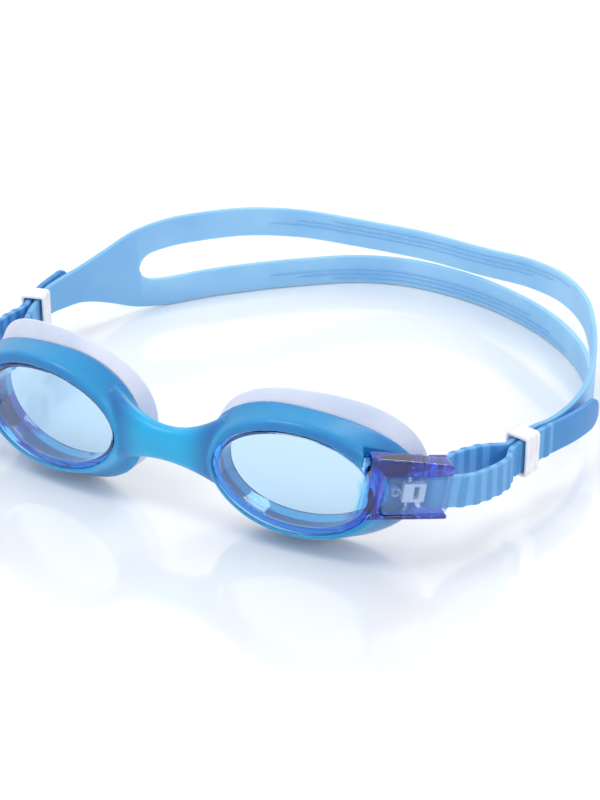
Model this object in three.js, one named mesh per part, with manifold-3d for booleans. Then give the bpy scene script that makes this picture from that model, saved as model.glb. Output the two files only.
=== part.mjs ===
// Swim goggles: soft one-piece frame, two lenses with buckles, gaskets and a split head strap.
// Millimetres. +X to the wearer's left, +Y to the back of the head, +Z up, lenses face -Y.
// The origin is on the ground under the middle of the whole object.
import * as THREE from 'three';
import { mergeVertices } from 'three/addons/utils/BufferGeometryUtils.js';
import Module from 'manifold-3d';

const wasm = await Module();
wasm.setup();

// ---- driving dimensions -------------------------------------------------------------------
const ORIGIN_X = -0.35, ORIGIN_Y = 87.66;        // middle of the object's box
const GAP = 0.3;                // air between pieces that touch
const CUP_X = 36, CUP_Y = 7.1, CUP_Z = 22;     // middle of one lens opening
const CUP_YAW = 0.098, CUP_PITCH = 0.03;       // radians the cups turn out and lean
const AROUND = 40;              // points around one eye cup

// An eye ring: half widths to temple and nose, half height, taper, squareness, shift, depth, wrap.
const LENS_EDGE = { temple: 23.2, nose: 21, high: 14.8, taper: -0.07, power: 2.03,
  du: 0, dv: -0.85, depth: 0, noseWrap: 2.5, templeWrap: 2.5 };
// The outer edge of the front lip, which is thin at the nose and below.
const LIP_EDGE = { temple: 26.3, nose: 22.4, high: 17, taper: -0.07, power: 2.03,
  du: 0, dv: 0, depth: 1, noseWrap: 2.5, templeWrap: 2.5 };
const FRAME_REAR = { temple: 31.6, nose: 27, high: 19.4, taper: 0.089, power: 2.2,
  du: 1.36, dv: -1.77, depth: 8.7, noseWrap: 0.3, templeWrap: 4.5 };
// The back of the seat that grips the lens cup, which runs almost straight back.
const SEAT_REAR = { temple: 24.8, nose: 21.6, high: 15.9, taper: 0, power: 2.1,
  du: 0.4, dv: -0.9, depth: 8.9, noseWrap: 0.3, templeWrap: 4.5 };
const GASKET_ROOT_TEMPLE = 29.8;     // the gasket starts short of the frame's edge at the temple
const GASKET_RIM = { temple: 29.6, nose: 28, high: 21.7, taper: -0.03, power: 2.2,
  du: 2.4, dv: -1.1, depth: 12.1, noseWrap: 4.6, templeWrap: 6.5 };
const LIP_THICK = 1.5;
const SEAT_FRONT = 0.8;         // how far the seat reaches past the lens opening in front
const LENS_WALL = 1.6;
const CUP_AIR = 0.45;           // between the cup and its seat, measured square to the axis
const CUP_PAST = 1.6;           // how far the cup reaches past the back of the frame
// Where the inside of the cup meets the window, and the rounding on the way there.
const WINDOW = { inset: 1.6, depth: 2.3, roundInset: 0.9, roundDepth: 3.9 };
// The gasket: inset at the root, lip thickness and width, and how full its curve is.
const GASKET = { inset: 0.6, lip: 1.2, lipDeep: 0.5, wide: 3.6, wideDeep: -0.6, inner: 3.4, innerDeep: -1.6,
  seatAir: 0.5, footAir: 0.2, fullness: 0.55 };
const TRIM_FRONT = -8, TRIM_BACK = 20;     // how far the trimming bodies run out
// The bridge: half length, and its four sides in the middle with how far each moves by its ends.
const BRIDGE = { half: 17, top: 27.4, topEnd: 7, low: 17.6, lowEnd: -5.5,
  front: 6.4, frontEnd: 1.2, rear: 11.6, rearEnd: 3.4, squareness: 0.7 };

// Buckle frame: x along the outrigger, y inwards to the head, z across the strap.
const BUCKLE_ROOT = new THREE.Vector3(61.4, 9.6, 23);
const BUCKLE_END = new THREE.Vector3(75.7, 23.5, 20);
const BUCKLE_LONG = 19.2;
const RAIL_DEEP = 4.6, HOOK_DEEP = 7.2, PLATE_THICK = 1.5;
const PLATE_END = 12.2;
const HOOK_START = 14.2, HOOK_TOP = 8.2;
const ARM_START = -3;           // inside the cup's temple wall
const UPPER_RAIL = { low: 5.6, root: 10.8, knee: 8, kneeHigh: 9.9, end: 8.6, corner: 0.9, rootBlock: 8,
  back: 9 };
const LOWER_RAIL = { low: -6.7, high: -5.5 };
const LEVER = { start: 1.5, end: 18.9, thick: 1.6, low: -5.25, high: 5.2, endLow: -4.75, endHigh: 4.75,
  corner: 1.3, bevel: 0.25 };
const LEVER_ROOM = 0.6;         // from the root block to the lever
const PIVOT = { x: 8.5, y: 3, radius: 0.6, ear: 1.3, earAt: 3.6, earHalf: 0.6,
  low: -6.6, high: 7 };
const DIMPLE = { x: 4.2, y: -1.1, z: 0.2, radius: 1.6 };
const PAWL = { half: 0.4, deep: 2.1, wide: 3.6 };   // the tooth that locks the strap on the roller
const ROLLER = { x: 16.8, y: 5.5, radius: 1.35, axle: 0.6, slack: 0.25, low: -5.1, high: 5.2,
  axleLow: -6.5, axleHigh: 7 };
const BORE_REACH = 8, BORE_TOP = 7.4;      // half length of a boring tool, and where blind holes stop
const WELD = 0.1;               // overlap of blocks joined into one piece
const CLIP = { low: 7.1, high: 13, bar: 1.6, half: 2.6, web: 0.8, boss: 1.1,
  past: 0.4, windowLow: 9.9 };
const SPRING = { x: 5.3, coil: 1.1, wire: 0.22, turns: 3.5, steps: 50, sides: 6 };

const STRAP = { thick: 1.5, wide: 9.2, rib: 0.4, pitch: 4.5, groove: 2.2, plainTip: 24, tip: 4,
  tipShare: 0.75, step: 5, ribSide: 0.1, wrapSpace: 0.3, wrapDrop: -0.3 };
const SQUARE_NEAR = 5, SQUARE_FAR = 14;    // the strap turns upright between these distances
const TOOTH_NEAR = 10;          // ribs get an extra row of points within this distance of the pawl
const SLOT = { start: 4.2, end: 16.85, steps: 44, rounding: 0.45, least: 0.4, deep: 3 };
const BAND = 9.3;               // height of each band where the strap is split
const KEEPER = { long: 6, wall: 0.9, lip: 1.1, room: 0.7, corner: 1.1, inner: 0.3, lead: 6.5 };

// ---- small helpers ------------------------------------------------------------------------
const lerp = THREE.MathUtils.lerp;
const clamp = THREE.MathUtils.clamp;

function toSolid(geometry) {
  const bare = geometry.clone();
  for (const name of Object.keys(bare.attributes)) {
    if (name !== 'position') bare.deleteAttribute(name);
  }
  const merged = mergeVertices(bare, 1e-4);
  return new wasm.Manifold(new wasm.Mesh({
    numProp: 3,
    vertProperties: new Float32Array(merged.attributes.position.array),
    triVerts: new Uint32Array(merged.index.array),
  }));
}

function toGeometry(solid) {
  const mesh = solid.getMesh();
  const geometry = new THREE.BufferGeometry();
  geometry.setAttribute('position', new THREE.BufferAttribute(mesh.vertProperties, 3));
  geometry.setIndex(new THREE.BufferAttribute(mesh.triVerts, 1));
  return geometry;
}

// Grid of rows of points to a triangle mesh; rows close on themselves around the ring.
function skin(rows, closed) {
  const count = rows[0].length;
  const points = rows.flat();
  const faces = [];
  const last = closed ? rows.length : rows.length - 1;
  for (let i = 0; i < last; i++) {
    const next = (i + 1) % rows.length;
    for (let j = 0; j < count; j++) {
      const k = (j + 1) % count;
      const [a, b, c, d] = [i * count + j, i * count + k, next * count + k, next * count + j];
      faces.push(a, b, c, a, c, d);
    }
  }
  if (!closed) {
    for (const [row, flip] of [[0, true], [rows.length - 1, false]]) {
      const centre = points.length;
      const middle = new THREE.Vector3();
      rows[row].forEach((p) => middle.add(p));
      points.push(middle.divideScalar(count));
      for (let j = 0; j < count; j++) {
        const [a, b] = [row * count + j, row * count + (j + 1) % count];
        faces.push(...(flip ? [centre, b, a] : [centre, a, b]));
      }
    }
  }
  return outward(points, faces);
}

// A closed mesh with its faces pointing out, whichever way its grid ran.
function outward(points, faces) {
  let volume = 0;
  for (let i = 0; i < faces.length; i += 3) {
    const [a, b, c] = [points[faces[i]], points[faces[i + 1]], points[faces[i + 2]]];
    volume += a.dot(b.clone().cross(c));
  }
  if (volume < 0) {
    for (let i = 0; i < faces.length; i += 3) [faces[i], faces[i + 1]] = [faces[i + 1], faces[i]];
  }
  const geometry = new THREE.BufferGeometry().setFromPoints(points);
  geometry.setIndex(faces);
  return geometry;
}

// The same piece on the other side: one axis changes sign and the faces turn round.
function mirrored(geometry, axis) {
  const flipped = geometry.index ? geometry.clone() : mergeVertices(geometry, 1e-4);
  const position = flipped.attributes.position;
  for (let i = 0; i < position.count; i++) {
    position.setComponent(i, axis, -position.getComponent(i, axis));
  }
  const index = flipped.index;
  for (let i = 0; i < index.count; i += 3) {
    const first = index.getX(i);
    index.setX(i, index.getX(i + 1));
    index.setX(i + 1, first);
  }
  return flipped;
}

function plain(geometry) {
  return toGeometry(toSolid(geometry));
}

// ---- eye rings ----------------------------------------------------------------------------
function grown(ring, by, back = 0) {
  return { ...ring, temple: ring.temple + by, nose: ring.nose + by, high: ring.high + by,
    depth: ring.depth + back };
}

function between(first, second, share) {
  const ring = {};
  for (const key of Object.keys(first)) ring[key] = lerp(first[key], second[key], share);
  return ring;
}

// A point of the right cup at angle t (0 = temple, 90 degrees = brow), scaled towards its middle.
function cupPoint(ring, t, scale = 1) {
  const [c, s] = [Math.cos(t), Math.sin(t)];
  const half = c < 0 ? ring.nose : ring.temple;
  const share = Math.sign(c) * Math.abs(c) ** (2 / ring.power);
  const rise = Math.sign(s) * Math.abs(s) ** (2 / ring.power);
  const across = half * share;
  const u = across * scale + ring.du;
  const v = ring.high * rise * (1 - ring.taper * across / ring.temple) * scale + ring.dv;
  const w = ring.depth + (u < 0 ? ring.noseWrap : ring.templeWrap) * (u / 30) ** 2;
  const back = w * Math.cos(CUP_PITCH) - v * Math.sin(CUP_PITCH);
  return new THREE.Vector3(
    CUP_X + u * Math.cos(CUP_YAW) - back * Math.sin(CUP_YAW),
    CUP_Y + u * Math.sin(CUP_YAW) + back * Math.cos(CUP_YAW),
    CUP_Z + v * Math.cos(CUP_PITCH) + w * Math.sin(CUP_PITCH));
}

function cupRow(ring, scale = 1) {
  const row = [];
  for (let i = 0; i < AROUND; i++) row.push(cupPoint(ring, i / AROUND * 2 * Math.PI, scale));
  return row;
}

const cupTube = (rings) => skin(rings.map((ring) => cupRow(ring)), true);

function cupBowl(outer, inner) {
  const rows = [cupRow(outer[0], 0.35), cupRow(outer[0], 0.7), ...outer.map((r) => cupRow(r)),
    ...inner.map((r) => cupRow(r)), cupRow(inner.at(-1), 0.7), cupRow(inner.at(-1), 0.35)];
  return skin(rows, false);
}

// ---- buckle frame -------------------------------------------------------------------------
const along = BUCKLE_END.clone().sub(BUCKLE_ROOT).normalize();
const inwards = new THREE.Vector3(-along.y, along.x, 0).normalize();
const across = new THREE.Vector3().crossVectors(along, inwards);
const buckleMatrix = new THREE.Matrix4().makeBasis(along, inwards, across).setPosition(BUCKLE_ROOT);
const inBuckle = (x, y, z) => new THREE.Vector3(x, y, z).applyMatrix4(buckleMatrix);

function block(x0, x1, y0, y1, z0, z1) {
  return new THREE.BoxGeometry(x1 - x0, y1 - y0, z1 - z0)
    .translate((x0 + x1) / 2, (y0 + y1) / 2, (z0 + z1) / 2);
}

function post(x, y, z0, z1, radius, sides = 20) {
  return new THREE.CylinderGeometry(radius, radius, z1 - z0, sides)
    .rotateX(Math.PI / 2).translate(x, y, (z0 + z1) / 2);
}

// A rounded outline in the buckle's x-z plane, extruded inwards from y0 to y1.
function plate(points, radius, y0, y1, bevel = 0) {
  const shape = new THREE.Shape();
  points.forEach(([x, z], i) => {
    const [px, pz] = points.at(i - 1);
    const [nx, nz] = points[(i + 1) % points.length];
    const before = new THREE.Vector2(px - x, pz - z).setLength(radius);
    const after = new THREE.Vector2(nx - x, nz - z).setLength(radius);
    if (i === 0) shape.moveTo(x + before.x, z + before.y);
    else shape.lineTo(x + before.x, z + before.y);
    shape.quadraticCurveTo(x, z, x + after.x, z + after.y);
  });
  shape.closePath();
  const options = { depth: y1 - y0 - 2 * bevel, curveSegments: 5, bevelEnabled: bevel > 0,
    bevelThickness: bevel, bevelSize: bevel, bevelOffset: -bevel, bevelSegments: 1 };
  return new THREE.ExtrudeGeometry(shape, options).translate(0, 0, bevel)
    .rotateX(Math.PI / 2).translate(0, y1, 0);
}

const plateSolid = (...args) => toSolid(plate(...args));

// ---- frame: two eye surrounds and the nose bridge, one moulding ---------------------------
const seatFront = grown(LENS_EDGE, SEAT_FRONT, 2);

function surround() {
  return toSolid(cupTube([
    LENS_EDGE, grown(between(LENS_EDGE, LIP_EDGE, 0.7), 0, -0.5), LIP_EDGE,
    between(LIP_EDGE, FRAME_REAR, 0.35), between(LIP_EDGE, FRAME_REAR, 0.75), FRAME_REAR, SEAT_REAR,
    between(seatFront, SEAT_REAR, 0.5), seatFront,
    grown(LENS_EDGE, SEAT_FRONT, LIP_THICK), grown(LENS_EDGE, 0, LIP_THICK),
  ]));
}

// Everything that the surround goes round: the lens cup with air about it.
function cupCore() {
  const rows = [grown(LENS_EDGE, 0, TRIM_FRONT), grown(LENS_EDGE, 0, LIP_THICK),
    grown(LENS_EDGE, SEAT_FRONT, LIP_THICK + 0.05), seatFront, grown(SEAT_REAR, 0, GAP),
    grown(SEAT_REAR, 0, TRIM_BACK)];
  return toSolid(skin(rows.map((ring) => cupRow(ring)), false));
}

// Everything behind the back face of the surround, where the gasket sits.
function behindSurround() {
  return toSolid(skin([grown(FRAME_REAR, 1, -0.15), grown(FRAME_REAR, 1, TRIM_BACK)]
    .map((ring) => cupRow(ring)), false));
}

function bridge() {
  const rows = [];
  const steps = 12;
  const around = 16;
  const rounded = (value) => Math.sign(value) * Math.abs(value) ** BRIDGE.squareness;
  for (let i = 0; i <= steps; i++) {
    const x = lerp(-BRIDGE.half, BRIDGE.half, i / steps);
    const out = (x / BRIDGE.half) ** 2;
    const [top, low] = [BRIDGE.top + BRIDGE.topEnd * out, BRIDGE.low + BRIDGE.lowEnd * out];
    const [front, rear] = [BRIDGE.front + BRIDGE.frontEnd * out, BRIDGE.rear + BRIDGE.rearEnd * out];
    const row = [];
    for (let j = 0; j < around; j++) {
      const t = j / around * 2 * Math.PI;
      row.push(new THREE.Vector3(x,
        (front + rear) / 2 + (rear - front) / 2 * rounded(Math.cos(t)),
        (top + low) / 2 + (top - low) / 2 * rounded(Math.sin(t))));
    }
    rows.push(row);
  }
  return toSolid(skin(rows, false));
}

// The room that the outrigger takes out of the temple side of the surround.
function outriggerRoom() {
  const [low, high] = [LOWER_RAIL.low - 0.4, UPPER_RAIL.root + 0.4];
  const arm = toSolid(block(-4, BUCKLE_LONG + 2, -4, RAIL_DEEP + PLATE_THICK + GAP, low, high));
  const strapSide = toSolid(block(PLATE_END + GAP, BUCKLE_LONG + 2, 0, 12, low, high));
  return arm.add(strapSide).transform(buckleMatrix.elements);
}

function frame() {
  const one = surround().subtract(outriggerRoom());
  const room = cupCore().add(behindSurround());
  const pair = one.add(one.mirror([1, 0, 0]));
  const nose = bridge().subtract(room).subtract(room.mirror([1, 0, 0]));
  return toGeometry(pair.add(nose));
}

// ---- lens with its outrigger --------------------------------------------------------------
const flange = grown(LENS_EDGE, SEAT_FRONT - CUP_AIR, LIP_THICK + GAP + 0.05);
const cupRear = grown(SEAT_REAR, -CUP_AIR, CUP_PAST);
const cupRearInner = grown(cupRear, -LENS_WALL);
const windowRound = grown(LENS_EDGE, -WINDOW.roundInset, WINDOW.roundDepth);
const windowEdge = grown(LENS_EDGE, -WINDOW.inset, WINDOW.depth);

function lensCup() {
  const outer = [grown(LENS_EDGE, -GAP, 0.5), grown(LENS_EDGE, -GAP, LIP_THICK + GAP), flange,
    grown(between(seatFront, SEAT_REAR, 0.5), -CUP_AIR), cupRear];
  const inner = [cupRearInner, windowRound, windowEdge];
  return toSolid(cupBowl(outer, inner));
}

function outrigger() {
  const { low, high } = LOWER_RAIL;
  const [start, end, hookEnd] = [ARM_START, BUCKLE_LONG, BUCKLE_LONG - 0.2];
  const upper = plateSolid([[start, UPPER_RAIL.low], [end, UPPER_RAIL.low], [end, UPPER_RAIL.end],
    [UPPER_RAIL.knee, UPPER_RAIL.kneeHigh], [start, UPPER_RAIL.root]],
  UPPER_RAIL.corner, 0, RAIL_DEEP + WELD);
  const lower = toSolid(block(start, end, 0, RAIL_DEEP + WELD, low, high));
  const back = toSolid(block(start, PLATE_END, RAIL_DEEP, RAIL_DEEP + PLATE_THICK, low, UPPER_RAIL.back));
  const hooks = toSolid(block(HOOK_START, hookEnd, WELD, HOOK_DEEP, low + WELD, high))
    .add(toSolid(block(HOOK_START, hookEnd, WELD, HOOK_DEEP, UPPER_RAIL.low, HOOK_TOP)));
  const root = toSolid(block(start, LEVER.start - LEVER_ROOM, WELD / 2, RAIL_DEEP, low + WELD,
    UPPER_RAIL.rootBlock));
  return upper.add(lower).add(back).add(hooks).add(root);
}

function lens() {
  const holes = toSolid(post(PIVOT.x, PIVOT.y, -BORE_REACH, BORE_TOP, PIVOT.radius + GAP))
    .add(toSolid(post(ROLLER.x, ROLLER.y, -BORE_REACH, BORE_TOP, ROLLER.axle + GAP)));
  const arm = outrigger().subtract(holes).transform(buckleMatrix.elements);
  const hollow = toSolid(skin([windowEdge, windowRound, cupRearInner,
    grown(cupRearInner, 0, TRIM_BACK)].map((ring) => cupRow(ring)), false));
  const lipRoom = toSolid(skin([grown(LENS_EDGE, 0, TRIM_FRONT),
    grown(LENS_EDGE, 0, 0.2)].map((ring) => cupRow(ring)), false));
  const [floor, roof] = [LOWER_RAIL.high, UPPER_RAIL.low];
  const leverRoom = toSolid(block(LEVER.start - LEVER_ROOM, 4, -1, 3.5, floor, roof))
    .add(toSolid(block(3.9, PLATE_END, -1, RAIL_DEEP, floor, roof))).transform(buckleMatrix.elements);
  return toGeometry(lensCup().add(arm.subtract(hollow).subtract(lipRoom)).subtract(leverRoom));
}

// ---- gasket -------------------------------------------------------------------------------
function gasket() {
  const edge = { ...FRAME_REAR, temple: GASKET_ROOT_TEMPLE };
  const root = grown(edge, -GASKET.inset, GASKET.footAir + GAP);
  const rootInner = grown(SEAT_REAR, GASKET.seatAir, GAP);
  const inner = grown(GASKET_RIM, -GASKET.inner, GASKET.innerDeep);
  const skirt = toSolid(cupTube([root, between(root, GASKET_RIM, 0.4),
    between(root, GASKET_RIM, 0.8), GASKET_RIM, grown(GASKET_RIM, -GASKET.lip, GASKET.lipDeep),
    grown(GASKET_RIM, -GASKET.wide, GASKET.wideDeep),
    between(rootInner, inner, GASKET.fullness), rootInner]));
  return toGeometry(skirt.subtract(toSolid(block(0, 90, 0, 60, -10, 0))));
}

// ---- buckle pieces, in the buckle's own frame ---------------------------------------------
function lever() {
  const { start, end, thick, low, high, endLow, endHigh, corner, bevel } = LEVER;
  const cover = plateSolid([[start, low], [end, endLow], [end, endHigh], [start, high]],
    corner, 0, thick, bevel);
  const dimple = toSolid(new THREE.SphereGeometry(DIMPLE.radius, 16, 12)
    .translate(DIMPLE.x, DIMPLE.y, DIMPLE.z));
  const { x, y, ear, earAt, earHalf } = PIVOT;
  const ears = [-earAt, earAt].map((z) => toSolid(block(x - ear, x + ear,
    thick - GAP, y, z - earHalf, z + earHalf))
    .add(toSolid(post(x, y, z - earHalf, z + earHalf, ear))));
  const bore = toSolid(post(x, y, -BORE_REACH, BORE_REACH, PIVOT.radius + GAP));
  const pawl = toSolid(block(ROLLER.x - PAWL.half, ROLLER.x + PAWL.half, thick - GAP, PAWL.deep,
    -PAWL.wide, PAWL.wide));
  return toGeometry(cover.subtract(dimple).add(ears[0]).add(ears[1]).subtract(bore).add(pawl));
}

// The clip hugs the pin with one bar and stiffens the lever with the other.
function hingeClip() {
  const { low, high, bar, half, web, past, windowLow } = CLIP;
  const top = LEVER.thick + GAP;
  const rear = PIVOT.y + past;
  const body = toSolid(block(low, high, top, rear, -half, half));
  const window = toSolid(block(windowLow, high - bar, top - 1, rear + 1, -half + web, half - web));
  const boss = toSolid(post(PIVOT.x, PIVOT.y, -half, half, CLIP.boss));
  const bore = toSolid(post(PIVOT.x, PIVOT.y, -BORE_REACH, BORE_REACH, PIVOT.radius + GAP));
  return toGeometry(body.subtract(window).add(boss).subtract(bore));
}

const leverPin = () => plain(post(PIVOT.x, PIVOT.y, PIVOT.low, PIVOT.high, PIVOT.radius));
const rollerAxle = () => plain(post(ROLLER.x, ROLLER.y, ROLLER.axleLow, ROLLER.axleHigh,
  ROLLER.axle));

function strapRoller() {
  const barrel = toSolid(post(ROLLER.x, ROLLER.y, ROLLER.low, ROLLER.high, ROLLER.radius));
  const bore = toSolid(post(ROLLER.x, ROLLER.y, -BORE_REACH, BORE_REACH, ROLLER.axle + ROLLER.slack));
  return toGeometry(barrel.subtract(bore));
}

function leverSpring() {
  const { steps, sides } = SPRING;
  const rows = [];
  const [y0, y1] = [LEVER.thick + GAP + SPRING.wire, RAIL_DEEP - GAP - SPRING.wire];
  for (let i = 0; i <= steps; i++) {
    const turn = i / steps * SPRING.turns * 2 * Math.PI;
    const out = new THREE.Vector3(Math.cos(turn), 0, Math.sin(turn));
    const centre = out.clone().multiplyScalar(SPRING.coil)
      .add(new THREE.Vector3(SPRING.x, lerp(y0, y1, i / steps), 0));
    const row = [];
    for (let j = 0; j < sides; j++) {
      const t = j / sides * 2 * Math.PI;
      row.push(centre.clone().addScaledVector(out, SPRING.wire * Math.cos(t))
        .add(new THREE.Vector3(0, SPRING.wire * Math.sin(t), 0)));
    }
    rows.push(row);
  }
  return plain(skin(rows, false));
}

// ---- strap --------------------------------------------------------------------------------
// Where each keeper sits, and which way the strap runs through it.
const KEEPER_RIGHT = { x: 79.2, y: 59.3, z: 16.2, angle: 1.35 };
const KEEPER_LEFT = { x: -82.9, y: 70.0, z: 15.8, angle: 1.84 };
const LAYER_STEP = 2.5;         // between the middles of the two layers inside a keeper

// Stations of the strap behind the keepers: x, y, lower edge, upper edge. SLOT counts in them.
const BACK_ROUTE = [
  [81.6, 72, 11.2, 20.4], [83, 82, 10.6, 20.1], [82.9, 92, 9.6, 20.1], [81.2, 103, 7.4, 20.8],
  [77.4, 115, 3.4, 22.6], [73, 125, 0.8, 24.4], [66, 137, 0, 25.4], [55, 148.5, 0, 25.3],
  [40, 158.5, 0, 23.2], [20, 166.2, 0, 20], [0, 168.6, 0, 19.9], [-12, 167, 0, 20.6],
  [-24, 162, 0, 22.6], [-37, 152.4, 0, 26.4], [-50, 140.8, 0, 28.9], [-61, 129, 0, 29.4],
  [-68, 119.8, 0, 29.2], [-74, 110.6, 1.8, 27.4], [-78.8, 101.8, 5.8, 23.6],
  [-81.9, 93, 9, 21.2], [-83.5, 84, 10.2, 20.4],
];

function keeperPoint(keeper, forward, outer) {
  const side = Math.sign(keeper.x);
  const run = new THREE.Vector3(Math.cos(keeper.angle), Math.sin(keeper.angle), 0);
  const out = new THREE.Vector3(run.y * side, -run.x * side, 0);
  return new THREE.Vector3(keeper.x, keeper.y, keeper.z).addScaledVector(run, -forward)
    .addScaledVector(out, (outer ? 0.5 : -0.5) * LAYER_STEP);
}

// One end of the strap from its tip, forward through the keeper, round the roller and back.
function looseEnd(keeper, tail, bulge, hollow) {
  const { lead } = KEEPER;
  const side = Math.sign(keeper.x);
  const radius = ROLLER.radius + STRAP.wrapSpace + STRAP.thick / 2;
  const flip = (p) => (side > 0 ? p : p.setX(-p.x));
  const wrap = [];
  for (let i = 0; i <= 7; i++) {
    const t = lerp(-0.1, 1.25, i / 7) * Math.PI;
    wrap.push(flip(inBuckle(ROLLER.x - radius * Math.sin(t), ROLLER.y - radius * Math.cos(t),
      STRAP.wrapDrop)));
  }
  return [...tail.map((p) => new THREE.Vector3(...p)),
    ...[-lead, 0, lead].map((forward) => keeperPoint(keeper, forward, true)),
    ...bulge.map((p) => new THREE.Vector3(...p)), ...wrap,
    ...hollow.map((p) => new THREE.Vector3(...p)),
    ...[lead, 0, -lead].map((forward) => keeperPoint(keeper, forward, false))];
}

// The strap's edge-to-edge direction: square to the roller inside a buckle, upright elsewhere.
function strapUp(p) {
  const side = p.x > 0 ? 1 : -1;
  const reach = inBuckle(ROLLER.x, ROLLER.y, 0).multiply(new THREE.Vector3(side, 1, 1)).distanceTo(p);
  const lean = 1 - THREE.MathUtils.smoothstep(reach, SQUARE_NEAR, SQUARE_FAR);
  const square = across.clone().multiply(new THREE.Vector3(side, 1, 1));
  return new THREE.Vector3(0, 0, 1).lerp(square, lean).normalize();
}

const RIGHT_END = looseEnd(KEEPER_RIGHT,
  [[87, 93, 14.6], [86.6, 86, 15], [85.4, 78, 15.6]],
  [[80.6, 45.5, 16.9], [79, 36.4, 17.9], [76.6, 29.8, 19]],
  [[68.2, 34, 19.6], [69.7, 41, 18.6], [72.9, 47.8, 17.6]]);
const LEFT_END = looseEnd(KEEPER_LEFT,
  [[-87.6, 93, 15.2], [-87.4, 87.5, 15.2], [-86.9, 82, 15.4]],
  [[-82.3, 55, 16.6], [-80.6, 42, 17.6], [-77.2, 31, 18.9]],
  [[-68.3, 34.4, 19.5], [-70.4, 43, 18.6], [-74.4, 52, 17.4]]);

// The whole strap as stations in order, each with its middle and half height.
function strapStations() {
  const half = STRAP.wide / 2;
  const back = BACK_ROUTE.map(([x, y, low, high]) => ({
    point: new THREE.Vector3(x, y, (low + high) / 2), half: (high - low) / 2 }));
  const stations = [...RIGHT_END.map((point) => ({ point, half })), ...back,
    ...[...LEFT_END].reverse().map((point) => ({ point, half }))];
  return { stations, first: RIGHT_END.length, last: RIGHT_END.length + back.length };
}

function spline(values, at) {
  const i = clamp(Math.floor(at), 0, values.length - 2);
  const t = at - i;
  const v = (n) => values[clamp(n, 0, values.length - 1)];
  const [a, b, c, d] = [v(i - 1), v(i), v(i + 1), v(i + 2)];
  return b + 0.5 * t * (c - a + t * (2 * a - 5 * b + 4 * c - d + t * (3 * (b - c) + d - a)));
}

function strap() {
  const { stations, first, last } = strapStations();
  const points = stations.map((s) => s.point);
  const curve = new THREE.CatmullRomCurve3(points, false, 'centripetal');
  const total = stations.length - 1;
  const samples = [];
  const halves = stations.map((s) => s.half);
  const centreAt = (at) => curve.getPoint(at / total);
  const dense = 3000;           // steps used to measure along the strap
  let length = 0, previous = centreAt(0);
  for (let i = 0; i <= dense; i++) {
    const at = i / dense * total;
    const p = centreAt(at);
    length += p.distanceTo(previous);
    previous = p;
    samples.push({ at, length });
  }
  const atLength = (wanted) => {
    const found = samples.find((s) => s.length >= wanted) ?? samples.at(-1);
    return found.at;
  };
  const lengthAt = (at) => samples[Math.round(at / total * dense)].length;

  // Rib edges along both ribbed ends, and a coarser walk round the back.
  const marks = [];
  const ribEnds = [lengthAt(first - 3), lengthAt(last + 2)];
  for (const [from, to, side] of [[0, ribEnds[0], 1], [ribEnds[1], length, -1]]) {
    const tooth = inBuckle(ROLLER.x, ROLLER.y - ROLLER.radius, 0).multiply(new THREE.Vector3(side, 1, 1));
    const inside = samples.filter((e) => e.length >= from && e.length <= to);
    const near = inside.reduce((best, e) => (centreAt(e.at).distanceTo(tooth)
      < centreAt(best.at).distanceTo(tooth) ? e : best)).length;
    const rib = STRAP.pitch - STRAP.groove;
    for (let n = -30; n <= 30; n++) {
      const edge = near + STRAP.groove / 2 + n * STRAP.pitch;
      const bends = centreAt(atLength(clamp(edge, from, to))).distanceTo(tooth) < TOOTH_NEAR;
      const steps = bends ? [[0, 1], [rib / 2, 1], [rib, 1], [rib + STRAP.ribSide, 0],
        [rib + STRAP.groove / 2, 0], [STRAP.pitch - STRAP.ribSide, 0]]
        : [[0, 1], [rib, 1], [rib + STRAP.ribSide, 0], [STRAP.pitch - STRAP.ribSide, 0]];
      for (const [step, up] of steps) {
        const at = edge + step;
        const fromTip = Math.min(at, length - at);
        const rise = fromTip > STRAP.plainTip ? up : 0;
        if (at > from + 3 && at < to - 3) marks.push([at, rise]);
      }
    }
  }
  for (let s = ribEnds[0] + 0.5; s < ribEnds[1] - 0.5; s += STRAP.step) marks.push([s, 0]);
  for (const s of [0, 0.4, 1.2, 2.2]) marks.push([s, 0], [length - s, 0]);
  marks.sort((a, b) => a[0] - b[0]);

  const rows = marks.map(([s, up]) => {
    const at = atLength(s);
    const p = centreAt(at);
    const ahead = centreAt(clamp(at + 0.01, 0, total)).sub(centreAt(clamp(at - 0.01, 0, total)));
    const half = spline(halves, at);
    const fromTip = Math.min(s, length - s);
    const arc = Math.sqrt(1 - (1 - Math.min(fromTip / STRAP.tip, 1)) ** 2);
    const round = lerp(1 - STRAP.tipShare, 1, arc);
    return band(p, ahead, half * round, up * STRAP.rib);
  });
  const solid = toSolid(skin(rows, false));
  return toGeometry(solid.subtract(slot(centreAt, halves, first)));
}

function band(p, ahead, half, rib) {
  const inner = -STRAP.thick / 2, outer = STRAP.thick / 2 + rib;
  const up = strapUp(p);
  const out = new THREE.Vector3().crossVectors(up, ahead).normalize();
  const corner = (side, rise) => {
    const q = p.clone().addScaledVector(out, side).addScaledVector(up, rise);
    return q.setZ(Math.max(q.z, 0));
  };
  return [corner(inner, -half), corner(outer, -half), corner(outer, half), corner(inner, half)];
}

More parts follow.
